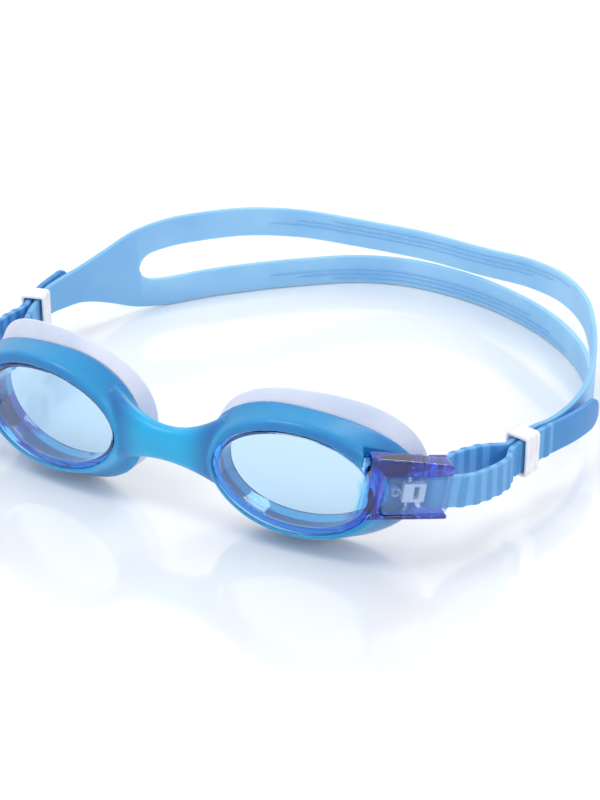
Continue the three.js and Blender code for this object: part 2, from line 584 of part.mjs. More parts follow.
// The long opening between the two bands, wider than the strap is thick.
function slot(centreAt, halves, first) {
  const rows = [];
  const [from, to] = [first + SLOT.start, first + SLOT.end];
  const { steps } = SLOT;
  for (let i = 0; i <= steps; i++) {
    const at = lerp(from, to, i / steps);
    const p = centreAt(at);
    const ahead = centreAt(at + 0.01).sub(centreAt(at - 0.01));
    const out = new THREE.Vector3(ahead.y, -ahead.x, 0).normalize();
    const open = Math.max(spline(halves, at) - BAND, SLOT.least);
    const near = Math.min(at - from, to - at) / SLOT.rounding;
    const tall = open * (near < 1 ? Math.sqrt(1 - (1 - near) ** 2) * 0.9 + 0.1 : 1);
    const corner = (side, up) => p.clone().addScaledVector(out, side * SLOT.deep).setZ(p.z + up);
    rows.push([corner(-1, -tall), corner(1, -tall), corner(1, tall), corner(-1, tall)]);
  }
  return toSolid(skin(rows, false));
}

// ---- keepers ------------------------------------------------------------------------------
function keeperLoop() {
  const roomX = LAYER_STEP + STRAP.thick + 2 * STRAP.rib + KEEPER.room;
  const roomZ = STRAP.wide + KEEPER.room;
  const outline = (w, h, r, target) => {
    target.moveTo(-w / 2 + r, -h / 2);
    target.lineTo(w / 2 - r, -h / 2);
    target.quadraticCurveTo(w / 2, -h / 2, w / 2, -h / 2 + r);
    target.lineTo(w / 2, h / 2 - r);
    target.quadraticCurveTo(w / 2, h / 2, w / 2 - r, h / 2);
    target.lineTo(-w / 2 + r, h / 2);
    target.quadraticCurveTo(-w / 2, h / 2, -w / 2, h / 2 - r);
    target.lineTo(-w / 2, -h / 2 + r);
    target.quadraticCurveTo(-w / 2, -h / 2, -w / 2 + r, -h / 2);
    return target;
  };
  const shape = outline(roomX + 2 * KEEPER.wall, roomZ + 2 * KEEPER.lip, KEEPER.corner,
    new THREE.Shape());
  shape.holes.push(outline(roomX, roomZ, KEEPER.inner, new THREE.Path()));
  const loop = new THREE.ExtrudeGeometry(shape, { depth: KEEPER.long, bevelEnabled: false,
    curveSegments: 4 }).translate(0, 0, -KEEPER.long / 2).rotateX(Math.PI / 2);
  return plain(loop);
}

// ---- assembly -----------------------------------------------------------------------------
const elastomer = () => new THREE.MeshStandardMaterial({ color: 0x3f86cf, roughness: 0.45 });
const tinted = () => new THREE.MeshStandardMaterial({ color: 0x2a4fae, roughness: 0.08 });
const milky = () => new THREE.MeshStandardMaterial({ color: 0xdfe2f2, roughness: 0.4 });
const silicone = () => new THREE.MeshStandardMaterial({ color: 0x9cc6ea, roughness: 0.4 });
const clear = () => new THREE.MeshStandardMaterial({ color: 0xbcd9f0, roughness: 0.06 });
const white = () => new THREE.MeshStandardMaterial({ color: 0xf2f1f4, roughness: 0.35 });
const steel = () => new THREE.MeshStandardMaterial({ color: 0xb9bec6, roughness: 0.3, metalness: 1 });

const goggles = new THREE.Group();
goggles.position.set(-ORIGIN_X, -ORIGIN_Y, 0);

function put(parent, name, geometry, material) {
  const mesh = new THREE.Mesh(geometry, material);
  mesh.name = name;
  parent.add(mesh);
  return mesh;
}

put(goggles, 'frame', frame(), elastomer());
put(goggles, 'strap', strap(), silicone());

const buckleParts = [['release_lever', lever, clear], ['lever_pin', leverPin, steel],
  ['lever_spring', leverSpring, steel], ['hinge_clip', hingeClip, white],
  ['strap_roller', strapRoller, white], ['roller_axle', rollerAxle, steel]];
const cupParts = [['lens', lens, tinted], ['gasket', gasket, milky]];

for (const side of ['right', 'left']) {
  const left = side === 'left';
  for (const [name, make, material] of cupParts) {
    put(goggles, `${name}_${side}`, left ? mirrored(make(), 0) : make(), material());
  }
  const buckle = new THREE.Group();
  const flip = new THREE.Vector3(left ? -1 : 1, 1, 1);
  const basis = new THREE.Matrix4().makeBasis(along.clone().multiply(flip),
    inwards.clone().multiply(flip), across.clone().multiply(flip).multiplyScalar(left ? -1 : 1));
  buckle.quaternion.setFromRotationMatrix(basis);
  buckle.position.copy(BUCKLE_ROOT).multiply(flip);
  goggles.add(buckle);
  for (const [name, make, material] of buckleParts) {
    put(buckle, `${name}_${side}`, left ? mirrored(make(), 2) : make(), material());
  }
  const at = left ? KEEPER_LEFT : KEEPER_RIGHT;
  const keeper = put(goggles, `keeper_${side}`, keeperLoop(), white());
  keeper.position.set(at.x, at.y, at.z);
  keeper.rotation.z = at.angle - Math.PI / 2;
}

export default goggles;
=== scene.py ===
import math
import bpy
import bmesh
import numpy as np
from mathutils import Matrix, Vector
from mathutils.bvhtree import BVHTree


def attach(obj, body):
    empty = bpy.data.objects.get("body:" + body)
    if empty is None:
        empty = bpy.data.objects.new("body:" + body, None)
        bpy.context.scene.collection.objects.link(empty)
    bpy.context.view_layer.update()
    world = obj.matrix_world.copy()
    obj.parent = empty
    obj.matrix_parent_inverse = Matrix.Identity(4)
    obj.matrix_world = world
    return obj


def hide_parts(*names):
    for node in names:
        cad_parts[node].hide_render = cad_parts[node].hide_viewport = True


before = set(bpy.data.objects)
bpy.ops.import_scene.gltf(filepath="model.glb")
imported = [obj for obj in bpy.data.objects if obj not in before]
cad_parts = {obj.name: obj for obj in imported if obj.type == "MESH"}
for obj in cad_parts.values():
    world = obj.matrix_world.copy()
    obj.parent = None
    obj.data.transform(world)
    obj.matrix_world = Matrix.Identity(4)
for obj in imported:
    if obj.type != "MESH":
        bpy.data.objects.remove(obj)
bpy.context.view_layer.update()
scene = bpy.context.scene
MM = 0.001
ORIGIN = np.array([-0.35, 87.66, 0.0])     # the row frame's origin in the design frame, mm

# ---- driving dimensions, the same as in the CAD model (mm) ---------------------------------
GAP = 0.3                                  # clearance between neighbouring parts
CUP_X, CUP_Y, CUP_Z = 36, 7.1, 22
CUP_YAW, CUP_PITCH = 0.098, 0.03
# a ring: temple and nose half widths, half height, taper, power, shifts du and dv, depth, wraps
LENS_EDGE = np.array([23.2, 21, 14.8, -0.07, 2.03, 0, -0.85, 0, 2.5, 2.5])
LIP_EDGE = np.array([26.3, 22.4, 17, -0.07, 2.03, 0, 0, 1, 2.5, 2.5])
FRAME_REAR = np.array([31.6, 27, 19.4, 0.089, 2.2, 1.36, -1.77, 8.7, 0.3, 4.5])
SEAT_REAR = np.array([24.8, 21.6, 15.9, 0, 2.1, 0.4, -0.9, 8.9, 0.3, 4.5])
GASKET_ROOT_TEMPLE = 29.8
GASKET_RIM = np.array([29.6, 28, 21.7, -0.03, 2.2, 2.4, -1.1, 12.1, 4.6, 6.5])
LIP_THICK = 1.5                            # the frame's lip in front of the lens
SEAT_FRONT = 0.8                           # how much wider the seat is than the window
LENS_WALL = 1.6
CUP_AIR = 0.45                             # room between the lens's cup and its seat
CUP_PAST = 1.6                             # how far the cup reaches past the seat
BUCKLE_ROOT = np.array([61.4, 9.6, 23.0])
BUCKLE_END = np.array([75.7, 23.5, 20.0])
BUCKLE_LONG, RAIL_DEEP, HOOK_DEEP, PLATE_THICK, PLATE_END = 19.2, 4.6, 7.2, 1.5, 12.2
RAIL_LOW, RAIL_HIGH = -5.5, 5.6            # the rails' faces towards the lever
RAIL_FOOT = -6.7                           # the lower rail's outer face
RAIL_BACK = -3                             # how far the rails reach into the cup's wall
ROOT_END = 0.9                             # end of the web between the rails
HOOK_START = 14.2                          # the hooks that hold the roller axle
PIVOT_X, PIVOT_Y, PIVOT_R, PIVOT_EAR = 8.5, 3.0, 0.6, 1.3
ROLLER_X, ROLLER_Y, ROLLER_R, ROLLER_AXLE = 16.8, 5.5, 1.35, 0.6
BORE_LOW, BORE_HIGH = -8, 7.4              # the bores of both axles, blind in the upper rail
LEVER_START, LEVER_END, LEVER_THICK = 1.5, 18.9, 1.6
LEVER_LOW, LEVER_HIGH = -5.1, 5.2
EAR_AT, EAR_HALF = 3.6, 0.6                # the lever's ears on its pin
DIMPLE_AT, DIMPLE_R = (4.2, -1.1, 0.2), 1.6
STRAP_THICK, STRAP_WIDE, RIB, PITCH, GROOVE, BAND = 1.5, 9.2, 0.4, 4.5, 2.2, 9.3
LAYER_STEP = 2.5                           # from the middle of one strap layer to the next
KEEPER_RIGHT = (79.2, 59.3, 16.2, 1.35)    # x, y, z and the strap's direction in radians
KEEPER_LEFT = (-82.9, 70.0, 15.8, 1.84)
KEEPER_HALF = 3
KEEPER_AIR = 0.7                           # what the keeper's opening has over the strap
KEEPER_SIDE, KEEPER_LIP = 1.8, 2.2         # both walls together, across and upright


# ---- mesh helpers ---------------------------------------------------------------------------
def clamp(value, low=0, high=1):
    return min(max(value, low), high)


def get_points(mesh):
    co = np.zeros(len(mesh.vertices) * 3)
    mesh.vertices.foreach_get("co", co)
    return co.reshape(-1, 3)


def float_attribute(mesh, name, values):
    layer = mesh.attributes.new(name, "FLOAT", "POINT")
    layer.data.foreach_set("value", np.asarray(values, np.float32))


def turn(count):
    """Angles of count equal steps around a circle."""
    return np.arange(count) / count * 2 * math.pi


def arc(a, corner, b, steps):
    """A quadratic curve from a to b that rounds the corner between them."""
    for k in range(steps + 1):
        t = k / steps
        yield (1 - t) ** 2 * a + 2 * t * (1 - t) * corner + t * t * b


def mesh_object(name, verts, faces):
    mesh = bpy.data.meshes.new(name)
    mesh.from_pydata([tuple(v) for v in verts], [], faces)
    work = bmesh.new()
    work.from_mesh(mesh)
    bmesh.ops.recalc_face_normals(work, faces=work.faces)
    work.to_mesh(mesh)
    work.free()
    obj = bpy.data.objects.new(name, mesh)
    scene.collection.objects.link(obj)
    return obj


def skin(rows, closed):
    """Vertices and quads of a grid whose rows are loops; the grid closes on itself or has caps."""
    n = len(rows[0])
    verts = np.concatenate([np.asarray(r, float) for r in rows])
    faces = []
    for i in range(len(rows) if closed else len(rows) - 1):
        k = (i + 1) % len(rows)
        for j in range(n):
            m = (j + 1) % n
            faces.append((i * n + j, i * n + m, k * n + m, k * n + j))
    if not closed:
        last = (len(rows) - 1) * n
        faces.append(tuple(range(n)))
        faces.append(tuple(range(last, last + n)))
    return verts, faces


def apply_modifiers(obj):
    """Makes the object's modifiers part of its mesh."""
    graph = bpy.context.evaluated_depsgraph_get()
    mesh = bpy.data.meshes.new_from_object(obj.evaluated_get(graph))
    old = obj.data
    obj.modifiers.clear()
    obj.data = mesh
    bpy.data.meshes.remove(old)


def carve(obj, other, operation="DIFFERENCE"):
    """Cuts the other object out of this one, or joins it on, and uses the other one up."""
    mod = obj.modifiers.new("cut", "BOOLEAN")
    mod.operation = operation
    mod.object = other
    mod.solver = "EXACT"
    apply_modifiers(obj)
    mesh = other.data
    bpy.data.objects.remove(other)
    bpy.data.meshes.remove(mesh)


def remesh(obj, voxel, rounds):
    """Gives everything in the object one skin with soft moulded edges."""
    mod = obj.modifiers.new("voxel", "REMESH")
    mod.mode = "VOXEL"
    mod.voxel_size = voxel
    soft = obj.modifiers.new("soft", "SMOOTH")
    soft.iterations = rounds
    soft.factor = 0.5
    apply_modifiers(obj)


def block(x0, x1, y0, y1, z0, z1):
    verts = [(x, y, z) for x in (x0, x1) for y in (y0, y1) for z in (z0, z1)]
    faces = [(0, 1, 3, 2), (4, 6, 7, 5), (0, 4, 5, 1), (2, 3, 7, 6), (0, 2, 6, 4), (1, 5, 7, 3)]
    return mesh_object("block", verts, faces)


def post(x, y, z0, z1, radius, sides=48):
    """A round bar along z of the buckle frame."""
    t = turn(sides)
    rows = [np.stack([x + radius * np.cos(t), y + radius * np.sin(t), np.full(sides, z)], 1)
            for z in (z0, z1)]
    return mesh_object("post", *skin(rows, False))


def rounded_outline(points, radius, steps=6):
    """The outline with its corners rounded, by one radius or by one for each point."""
    out = []
    points = [np.array(p, float) for p in points]
    for i, p in enumerate(points):
        a = points[i - 1] - p
        b = points[(i + 1) % len(points)] - p
        r = radius if np.isscalar(radius) else radius[i]
        out += arc(p + a / np.linalg.norm(a) * r, p, p + b / np.linalg.norm(b) * r, steps)
    return np.array(out)


def plate(points, radius, y0, y1):
    """A rounded outline in the buckle's x-z plane with a thickness from y0 to y1."""
    flat = rounded_outline(points, radius)
    rows = [np.stack([flat[:, 0], np.full(len(flat), y), flat[:, 1]], 1) for y in (y0, y1)]
    return mesh_object("plate", *skin(rows, False))


def to_row(obj):
    """From design millimetres to the row frame in metres."""
    mesh = obj.data
    mesh.vertices.foreach_set("co", ((get_points(mesh) - ORIGIN) * MM).ravel())
    mesh.update()


def mirror_copy(obj, name):
    """The same piece on the wearer's other side, while it is still in design millimetres."""
    mesh = obj.data.copy()
    work = bmesh.new()
    work.from_mesh(mesh)
    for v in work.verts:
        v.co.x = -v.co.x
    bmesh.ops.reverse_faces(work, faces=work.faces)
    work.to_mesh(mesh)
    work.free()
    copy = bpy.data.objects.new(name, mesh)
    scene.collection.objects.link(copy)
    return copy


def finish_piece(obj, name, body, material, nodes, sharp=None):
    """Shades, names and hands over a piece; edges over sharp degrees stay crisp."""
    to_row(obj)
    obj.name = name
    obj.data.name = name
    for face in obj.data.polygons:
        face.use_smooth = True
    if sharp:
        obj.data.set_sharp_from_angle(angle=math.radians(sharp))
    obj.data.materials.clear()
    obj.data.materials.append(material)
    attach(obj, body)
    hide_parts(*nodes)


def thickness_attribute(obj, limit=8.0, tilt=0.35, rounds=12):
    """How much material lies behind each point of the skin, in mm, as a vertex attribute."""
    mesh = obj.data
    tree = BVHTree.FromPolygons([v.co for v in mesh.vertices], [p.vertices for p in mesh.polygons])
    tilts = [Vector(t) for t in ((0, 0, 0), (tilt, 0, 0), (-tilt, 0, 0), (0, 0, tilt), (0, 0, -tilt))]
    values = []
    for v in mesh.vertices:
        total = 0.0
        for t in tilts:
            ray = (t - v.normal).normalized()
            hit = tree.ray_cast(v.co + ray * 0.02, ray, limit)
            total += hit[3] if hit[0] is not None else limit
        values.append(total / len(tilts))
    values = np.array(values)
    links = np.array([tuple(e.vertices) for e in mesh.edges])
    for _ in range(rounds):
        share = np.zeros_like(values)
        count = np.zeros_like(values)
        np.add.at(share, links[:, 0], values[links[:, 1]])
        np.add.at(share, links[:, 1], values[links[:, 0]])
        np.add.at(count, links.ravel(), 1)
        values = 0.5 * values + 0.5 * share / np.maximum(count, 1)
    float_attribute(mesh, "thickness", values)


def wall_attribute(obj):
    """0 on a lens's window, 1 on its side walls, 2 behind the lever, 3 on the rails and their root."""
    wall_start, wall_slope, wall_blend = 10.3, 0.1, 2.5
    buckle_blend = 2.0
    values = []
    for v in obj.data.vertices:
        rel = Vector(v.co) - Vector(BUCKLE_ROOT)
        out, deep, rise = (rel.dot(Vector(axis)) for axis in (along, inwards, upright))
        wall = clamp((v.co.y - wall_start - wall_slope * (v.co.x - CUP_X)) / wall_blend)
        # zone 2 behind the lever and zone 1 on the side walls choose a blue that is partly painted
        # light, for the lit frame behind them
        behind_lever = out > 1.2 and abs(rise) < LEVER_HIGH and deep > 3
        share = clamp((out - RAIL_BACK) / buckle_blend)
        values.append(wall + ((2 if behind_lever else 3) - wall) * share)
    float_attribute(obj.data, "wall", values)


# ---- eye rings ------------------------------------------------------------------------------
def grown(ring, by, back=0.0):
    """The ring made wider all around and moved towards the face."""
    out = ring.copy()
    out[0:3] += by
    out[7] += back
    return out


def between(a, b, share):
    return a + (b - a) * share


def cup_row(ring, count=120, scale=1.0):
    """The ring's points around the eye, on a surface that wraps around the face."""
    temple, nose, high, taper, power, du, dv, depth, nose_wrap, temple_wrap = ring
    t = turn(count)
    c, s = np.cos(t), np.sin(t)
    half = np.where(c < 0, nose, temple)
    across = half * np.sign(c) * np.abs(c) ** (2 / power)
    rise = np.sign(s) * np.abs(s) ** (2 / power)
    u = across * scale + du
    v = high * rise * (1 - taper * across / temple) * scale + dv
    w = depth + np.where(u < 0, nose_wrap, temple_wrap) * (u / 30) ** 2
    back = w * math.cos(CUP_PITCH) - v * math.sin(CUP_PITCH)
    return np.stack([
        CUP_X + u * math.cos(CUP_YAW) - back * math.sin(CUP_YAW),
        CUP_Y + u * math.sin(CUP_YAW) + back * math.cos(CUP_YAW),
        CUP_Z + v * math.cos(CUP_PITCH) + w * math.sin(CUP_PITCH)], 1)


def ring_gap(a, b):
    return float(np.mean(np.linalg.norm(cup_row(a, 12) - cup_row(b, 12), axis=1)))


def rounded_rings(rings, radii, closed, span=2.0):
    """The rings as corners of a section with rounded corners, and more rings along long spans."""
    out = []
    n = len(rings)
    for i, ring in enumerate(rings):
        r = radii[i]
        ends = not closed and i in (0, n - 1)
        if r <= 0 or ends:
            out.append(ring)
            continue
        before, after = rings[i - 1], rings[(i + 1) % n]
        da, db = ring_gap(ring, before), ring_gap(ring, after)
        out += arc(between(ring, before, min(r / da, 0.45)), ring,
                   between(ring, after, min(r / db, 0.45)), 4)
    dense = []
    for i, ring in enumerate(out):
        dense.append(ring)
        if i + 1 == len(out) and not closed:
            break
        after = out[(i + 1) % len(out)]
        extra = int(ring_gap(ring, after) // span)
        dense += [between(ring, after, (k + 1) / (extra + 1)) for k in range(extra)]
    return dense


def ring_tube(name, rings, radii, count=120):
    rows = [cup_row(r, count) for r in rounded_rings(rings, radii, True)]
    return mesh_object(name, *skin(rows, True))


def ring_plug(name, rings):
    return mesh_object(name, *skin([cup_row(r) for r in rings], False))


# ---- buckle frame ---------------------------------------------------------------------------
along = (BUCKLE_END - BUCKLE_ROOT) / np.linalg.norm(BUCKLE_END - BUCKLE_ROOT)
inwards = np.array([-along[1], along[0], 0.0])
inwards /= np.linalg.norm(inwards)
upright = np.cross(along, inwards)


def in_buckle(x, y, z, side=1):
    """A point given in the buckle's own frame; side is -1 on the wearer's other side."""
    return (BUCKLE_ROOT + along * x + inwards * y + upright * z) * (side, 1, 1)


def to_buckle(obj):
    """Moves a piece made in the buckle's own frame to its place on the wearer's left."""
    mesh = obj.data
    co = get_points(mesh)
    co = BUCKLE_ROOT + co[:, :1] * along + co[:, 1:2] * inwards + co[:, 2:3] * upright
    mesh.vertices.foreach_set("co", co.ravel())
    work = bmesh.new()
    work.from_mesh(mesh)
    bmesh.ops.recalc_face_normals(work, faces=work.faces)
    work.to_mesh(mesh)
    work.free()
    mesh.update()
    return obj


seat_front = grown(LENS_EDGE, SEAT_FRONT, 2)


# ---- materials ------------------------------------------------------------------------------
MIX_A, MIX_B, MIX_RESULT = 6, 7, 2         # a mix node's colour sockets


def new_material(name, **inputs):
    material = bpy.data.materials.new(name)
    material.use_nodes = True
    tree = material.node_tree
    shader = tree.nodes["Principled BSDF"]
    for key, value in inputs.items():
        shader.inputs[key.replace("_", " ")].default_value = value
    return material, tree, shader


def add(tree, kind, **settings):
    node = tree.nodes.new(kind)
    for key, value in settings.items():
        if hasattr(node, key):
            setattr(node, key, value)
        else:
            node.inputs[key.replace("_", " ")].default_value = value
    return node


def ramp(tree, source, stops):
    node = tree.nodes.new("ShaderNodeValToRGB")
    tree.links.new(source, node.inputs["Fac"])
    elements = node.color_ramp.elements
    while len(elements) > 1:
        elements.remove(elements[-1])
    elements[0].position, elements[0].color = stops[0][0], (*stops[0][1], 1)
    for place, colour in stops[1:]:
        elements.new(place).color = (*colour, 1)
    return node.outputs["Color"]


def noise(tree, scale, detail=3.0):
    where = add(tree, "ShaderNodeTexCoord")
    node = add(tree, "ShaderNodeTexNoise", Scale=scale, Detail=detail, Roughness=0.5)
    tree.links.new(where.outputs["Object"], node.inputs["Vector"])
    return node.outputs["Fac"]


def spread(tree, source, low, high):
    """Maps 0..1 of a socket onto low..high."""
    node = add(tree, "ShaderNodeMapRange", To_Min=low, To_Max=high)
    tree.links.new(source, node.inputs["Value"])
    return node.outputs["Result"]


def bumps(tree, shader, height, strength, distance):
    node = add(tree, "ShaderNodeBump", Strength=strength, Distance=distance)
    tree.links.new(height, node.inputs["Height"])
    tree.links.new(node.outputs["Normal"], shader.inputs["Normal"])


def tint(tree, base, source, low, high):
    """The base colour made a little darker or lighter by a texture."""
    node = add(tree, "ShaderNodeMix", data_type="RGBA", blend_type="MULTIPLY")
    node.inputs["Factor"].default_value = 1.0
    tree.links.new(base, node.inputs[MIX_A])
    shade = spread(tree, source, low, high)
    tree.links.new(shade, node.inputs[MIX_B])
    return node.outputs[MIX_RESULT]


def side_mask(tree, inner, outer):
    """0 in the middle of the object and 1 towards the wearer's temples."""
    where = add(tree, "ShaderNodeTexCoord")
    split = add(tree, "ShaderNodeSeparateXYZ")
    tree.links.new(where.outputs["Object"], split.inputs[0])
    aside = add(tree, "ShaderNodeMath", operation="ABSOLUTE")
    tree.links.new(split.outputs["X"], aside.inputs[0])
    mask = add(tree, "ShaderNodeMapRange", interpolation_type="SMOOTHSTEP",
               From_Min=inner, From_Max=outer)
    tree.links.new(aside.outputs[0], mask.inputs["Value"])
    return mask.outputs["Result"]


def elastomer():
    """Satin translucent elastomer: pale where thin, deep blue where thick, cyan in the bridge."""
    material, tree, shader = new_material("frame_elastomer", Roughness=0.36, IOR=1.45,
                                          Subsurface_Weight=0.55, Subsurface_Scale=0.004,
                                          Coat_Weight=0.25, Coat_Roughness=0.22)
    shader.inputs["Subsurface Radius"].default_value = (0.25, 0.6, 1.0)
    thick = add(tree, "ShaderNodeAttribute", attribute_name="thickness")
    scaled = add(tree, "ShaderNodeMapRange", From_Min=0.8, From_Max=6.0)
    tree.links.new(thick.outputs["Fac"], scaled.inputs["Value"])
    deep = ramp(tree, scaled.outputs["Result"], [
        (0.0, (0.10, 0.45, 0.77)), (0.3, (0.010, 0.285, 0.58)), (0.6, (0.010, 0.22, 0.52)),
        (1.0, (0.014, 0.14, 0.43))])
    mixed = add(tree, "ShaderNodeMix", data_type="RGBA")
    tree.links.new(side_mask(tree, 0.005, 0.016), mixed.inputs["Factor"])
    mixed.inputs[MIX_A].default_value = (0.005, 0.42, 0.74, 1)
    tree.links.new(deep, mixed.inputs[MIX_B])
    mottled = tint(tree, mixed.outputs[MIX_RESULT], noise(tree, 180), 0.9, 1.1)
    tree.links.new(mottled, shader.inputs["Base Color"])
    tree.links.new(spread(tree, noise(tree, 420), 0.30, 0.44), shader.inputs["Roughness"])
    bumps(tree, shader, noise(tree, 2600, 2), 0.06, 0.0004)
    return material


def silicone(name, colours, scale, roughness, ends=None):
    """Soft satin silicone with slow colour drift; ends are the grooves' and the ribs' colours."""
    material, tree, shader = new_material(name, IOR=1.43, Subsurface_Weight=0.5,
                                          Subsurface_Scale=0.003)
    shader.inputs["Subsurface Radius"].default_value = (0.5, 0.8, 1.0)
    base = ramp(tree, noise(tree, scale, 2), colours)
    if ends:
        mixed = add(tree, "ShaderNodeMix", data_type="RGBA")
        deep = add(tree, "ShaderNodeAttribute", attribute_name="deep")
        tree.links.new(deep.outputs["Fac"], mixed.inputs["Factor"])
        rib = add(tree, "ShaderNodeAttribute", attribute_name="rib")
        ribbed = ramp(tree, rib.outputs["Fac"], [(0.0, ends[0]), (1.0, ends[1])])
        tree.links.new(base, mixed.inputs[MIX_A])
        tree.links.new(ribbed, mixed.inputs[MIX_B])
        base = mixed.outputs[MIX_RESULT]
    tree.links.new(base, shader.inputs["Base Color"])
    tree.links.new(spread(tree, noise(tree, scale * 3), roughness - 0.05, roughness + 0.07),
                   shader.inputs["Roughness"])
    bumps(tree, shader, noise(tree, 2400, 2), 0.05, 0.0003)
    return material


def polycarbonate():
    """Tinted moulding: the colour comes from its zones and the depth of plastic the light crosses; the
    strong blue of the side walls and of the plate behind the lever is partly painted light, standing in
    for the lit blue frame seen through them.
    """
    # walls and behind_lever are partly the plastic's tint and partly painted light: their stronger blue
    # stands in for the lit blue frame behind them
    window, walls = (1, 1, 1), (0.13, 0.70, 0.98)
    behind_lever, rails = (0.20, 0.68, 1.0), (0.17, 0.16, 0.66)
    material, tree, shader = new_material("tinted_lens", IOR=1.30, Transmission_Weight=1.0,
                                          Coat_Weight=1.0, Coat_Roughness=0.03)
    wall = add(tree, "ShaderNodeAttribute", attribute_name="wall")
    third = add(tree, "ShaderNodeMath", operation="MULTIPLY")
    third.inputs[1].default_value = 1 / 3
    tree.links.new(wall.outputs["Fac"], third.inputs[0])
    zone = ramp(tree, third.outputs[0], [
        (0.0, window), (0.33, walls), (0.67, behind_lever), (1.0, rails)])
    tree.links.new(tint(tree, zone, noise(tree, 90, 1), 0.95, 1.0), shader.inputs["Base Color"])
    tree.links.new(spread(tree, noise(tree, 300), 0.02, 0.06), shader.inputs["Roughness"])
    bumps(tree, shader, noise(tree, 120, 1), 0.02, 0.0002)
    volume = add(tree, "ShaderNodeVolumeAbsorption", Color=(0.30, 0.72, 0.96, 1), Density=380)
    out = tree.nodes["Material Output"]
    tree.links.new(volume.outputs[0], out.inputs["Volume"])
    return material


def clear_plastic():
    """The thin lever: nearly clear with a faint milky blue, so that light reaches what lies behind."""
    material, tree, shader = new_material("clear_plastic", IOR=1.2, Transmission_Weight=0.6, Alpha=0.36,
                                          Coat_Weight=1.0, Coat_Roughness=0.04, Coat_IOR=1.5)
    base = ramp(tree, noise(tree, 120), [(0.3, (0.24, 0.52, 0.88)), (0.7, (0.30, 0.58, 0.92))])
    tree.links.new(base, shader.inputs["Base Color"])
    tree.links.new(spread(tree, noise(tree, 400), 0.03, 0.09), shader.inputs["Roughness"])
    return material


def white_plastic(name, low, high):
    material, tree, shader = new_material(name, IOR=1.48)
    base = ramp(tree, noise(tree, 250), [(0.3, low), (0.7, high)])
    tree.links.new(base, shader.inputs["Base Color"])
    tree.links.new(spread(tree, noise(tree, 500), 0.25, 0.4), shader.inputs["Roughness"])
    bumps(tree, shader, noise(tree, 3000), 0.04, 0.0002)
    return material


def steel():
    material, tree, shader = new_material("steel", Metallic=1.0)
    base = ramp(tree, noise(tree, 900), [(0.3, (0.55, 0.57, 0.6)), (0.7, (0.72, 0.74, 0.77))])
    tree.links.new(base, shader.inputs["Base Color"])
    tree.links.new(spread(tree, noise(tree, 1500), 0.18, 0.34), shader.inputs["Roughness"])
    return material


FRAME_MAT = elastomer()
LENS_MAT = polycarbonate()
CLEAR_MAT = clear_plastic()
# the clip's pink-white tint is its colour; its extra brightness over white_plastic is painted light
# that makes up for shade in the buckle's recess
CLIP_MAT = white_plastic("clip_plastic", (0.97, 0.90, 0.94), (1.0, 0.95, 0.98))
GASKET_MAT = silicone("milky_silicone", [(0.3, (0.60, 0.65, 0.79)), (0.7, (0.68, 0.70, 0.81))],
                      70, 0.38)
STRAP_MAT = silicone("strap_silicone", [(0.3, (0.27, 0.54, 0.80)), (0.7, (0.35, 0.61, 0.84))],
                     60, 0.40, ((0.14, 0.40, 0.70), (0.055, 0.26, 0.58)))
WHITE_MAT = white_plastic("white_plastic", (0.80, 0.80, 0.86), (0.90, 0.90, 0.94))
STEEL_MAT = steel()


# ---- frame: two surrounds and the bridge in one moulding ---------------------------------------
def cup_core():
    """The room that the lens and its seat take out of the bridge."""
    return ring_plug("core", [
        grown(LENS_EDGE, 0, -6), grown(LENS_EDGE, 0, LIP_THICK),
        grown(LENS_EDGE, SEAT_FRONT, LIP_THICK + 0.05), seat_front, grown(SEAT_REAR, 0, 0.3),
        grown(SEAT_REAR, 0, 12)])


def bridge(reach=17, sides=48, power=0.7):
    """A bar with a softly squared section that widens towards both surrounds."""
    t = turn(sides)
    c, s = (np.sign(v) * np.abs(v) ** power for v in (np.cos(t), np.sin(t)))
    rows = []
    for x in np.linspace(-reach, reach, 60):
        out = (x / reach) ** 2
        top, low = 27.4 + 7 * out, 17.6 - 5.5 * out
        front, rear = 6.4 + 1.2 * out, 11.6 + 3.4 * out
        rows.append(np.stack([np.full(sides, x), (front + rear) / 2 + (rear - front) / 2 * c,
                              (top + low) / 2 + (top - low) / 2 * s], 1))
    return mesh_object("bridge", *skin(rows, False))


def make_frame():
    rings = [LENS_EDGE, grown(between(LENS_EDGE, LIP_EDGE, 0.7), 0, -0.5), LIP_EDGE,
             between(LIP_EDGE, FRAME_REAR, 0.35), between(LIP_EDGE, FRAME_REAR, 0.75),
             FRAME_REAR, SEAT_REAR, between(seat_front, SEAT_REAR, 0.5), seat_front,
             grown(LENS_EDGE, SEAT_FRONT, LIP_THICK), grown(LENS_EDGE, 0, LIP_THICK)]
    one = ring_tube("surround", rings, [0.35, 0.5, 0.9, 0, 0, 0.7, 0.5, 0, 0.3, 0.2, 0.35])
    notch = (-7.1, 11.2)                   # the buckle's room in the surround, low and high
    past = BUCKLE_LONG + 2
    carve(one, to_buckle(block(-4, past, -4, RAIL_DEEP + PLATE_THICK + GAP, *notch)))
    carve(one, to_buckle(block(PLATE_END + GAP, past, 0, 12, *notch)))
    other = mirror_copy(one, "surround_other")
    nose = bridge()
    behind = ring_plug("behind", [grown(FRAME_REAR, 1, -0.15), grown(FRAME_REAR, 1, 12)])
    for room in (cup_core(), behind):
        room_other = mirror_copy(room, "room_other")
        carve(nose, room)
        carve(nose, room_other)
    carve(one, other, "UNION")
    carve(one, nose, "UNION")
    remesh(one, 0.42, 5)
    thickness_attribute(one)
    finish_piece(one, "soft_frame", "goggles", FRAME_MAT, ["frame"])


# ---- lenses with their outriggers ---------------------------------------------------------------
flange = grown(LENS_EDGE, SEAT_FRONT - CUP_AIR, LIP_THICK + GAP + 0.05)
cup_rear = grown(SEAT_REAR, -CUP_AIR, CUP_PAST)
cup_rear_inner = grown(cup_rear, -LENS_WALL)


